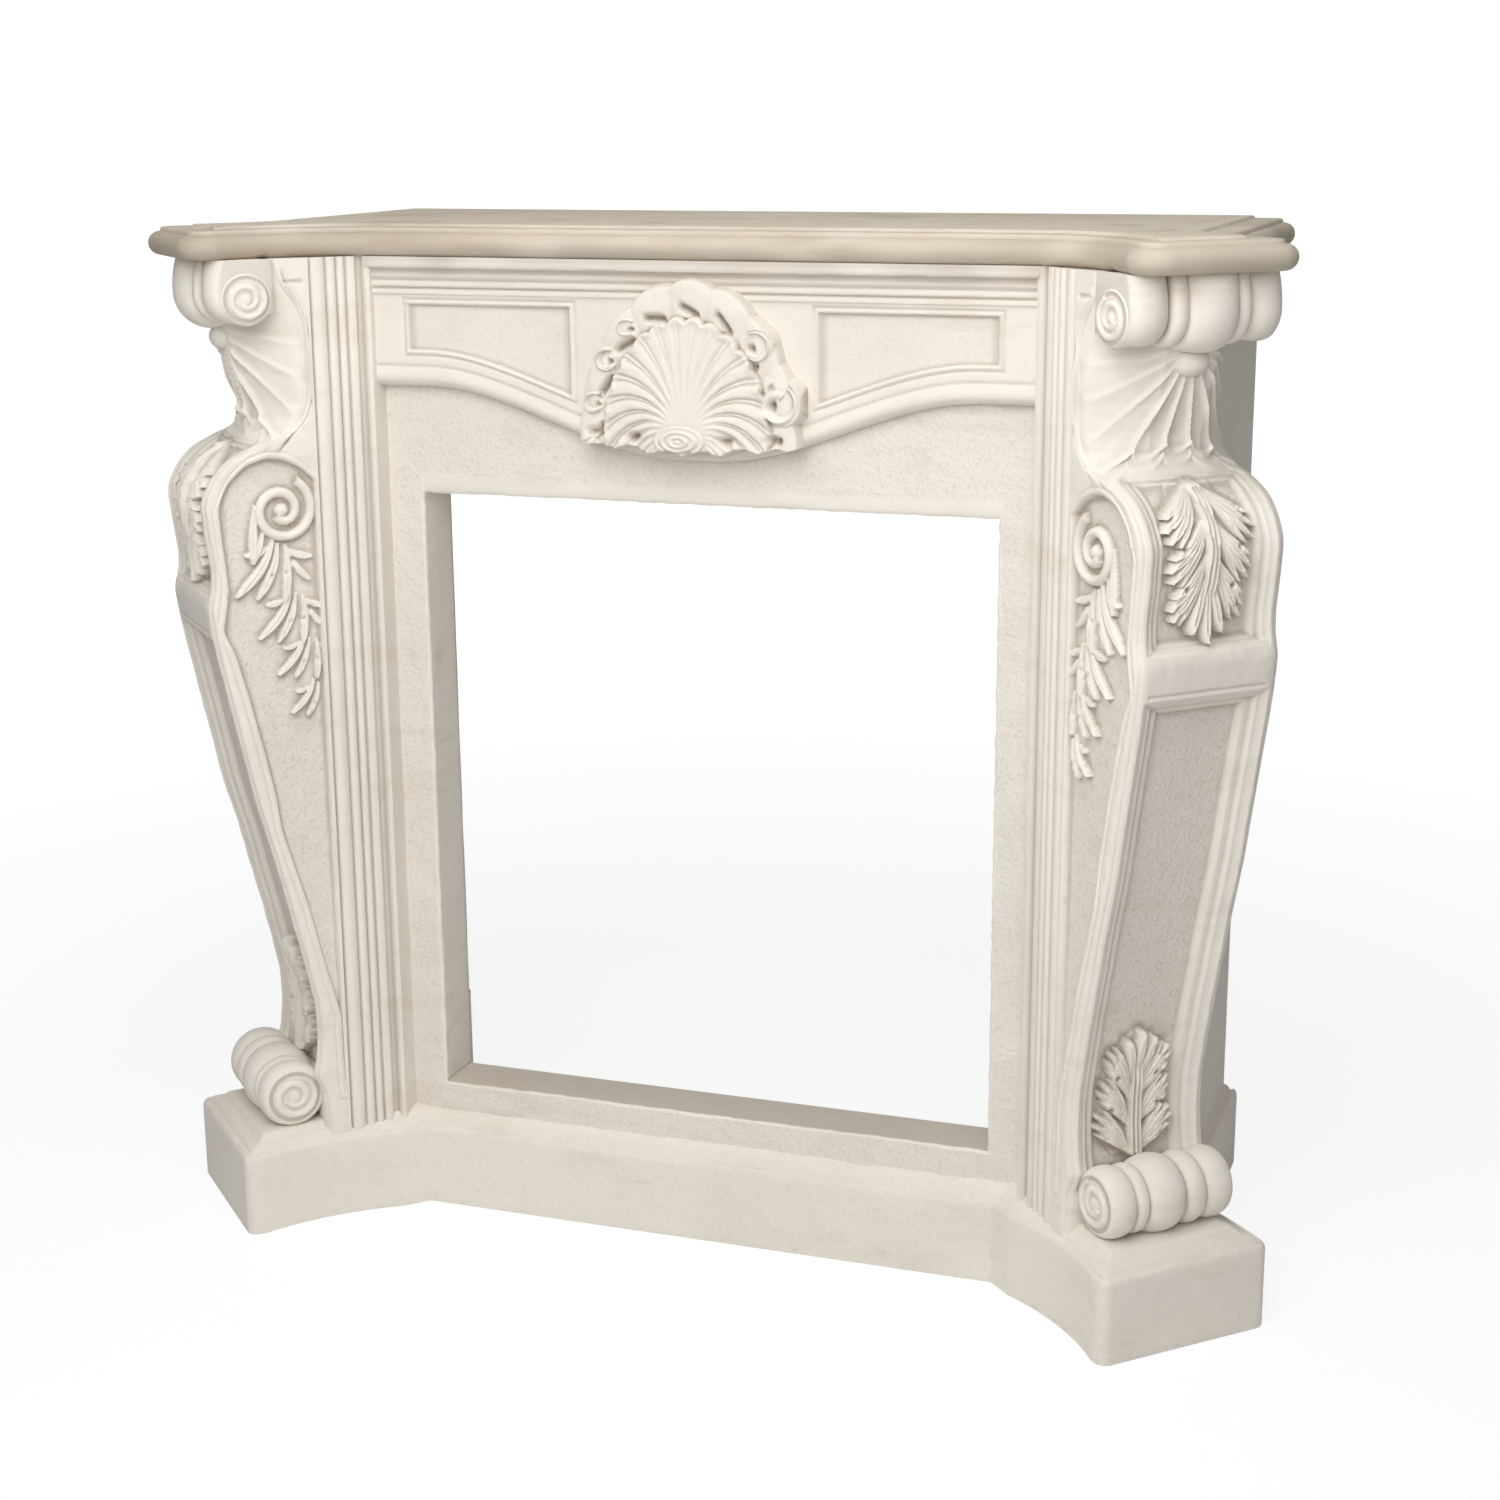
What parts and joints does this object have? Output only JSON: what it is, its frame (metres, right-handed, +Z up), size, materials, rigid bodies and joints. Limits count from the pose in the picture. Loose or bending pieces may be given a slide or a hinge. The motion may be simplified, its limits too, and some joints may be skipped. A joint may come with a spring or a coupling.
{
  "type": "fireplace mantel",
  "caption": "Cast-stone fireplace surround with canted scroll legs, shell frieze and a serpentine moulded shelf, open through the hearth and hollow behind.",
  "frame": {"origin": "middle of the underside's bounding rectangle, on the floor", "axes": "+X along the front, to the right seen from the room; -Y out of the wall towards the room; +Z up"},
  "size_m": [1.2044, 0.529, 1.07],
  "materials": {
    "shelf_stone": "cast stone, beige wash, smooth",
    "surround_stone": "cast stone, off-white, stippled grounds"
  },
  "bodies": {
    "root": {"mantel_shelf": "shelf_stone", "surround": "surround_stone"}
  },
  "joints": []
}
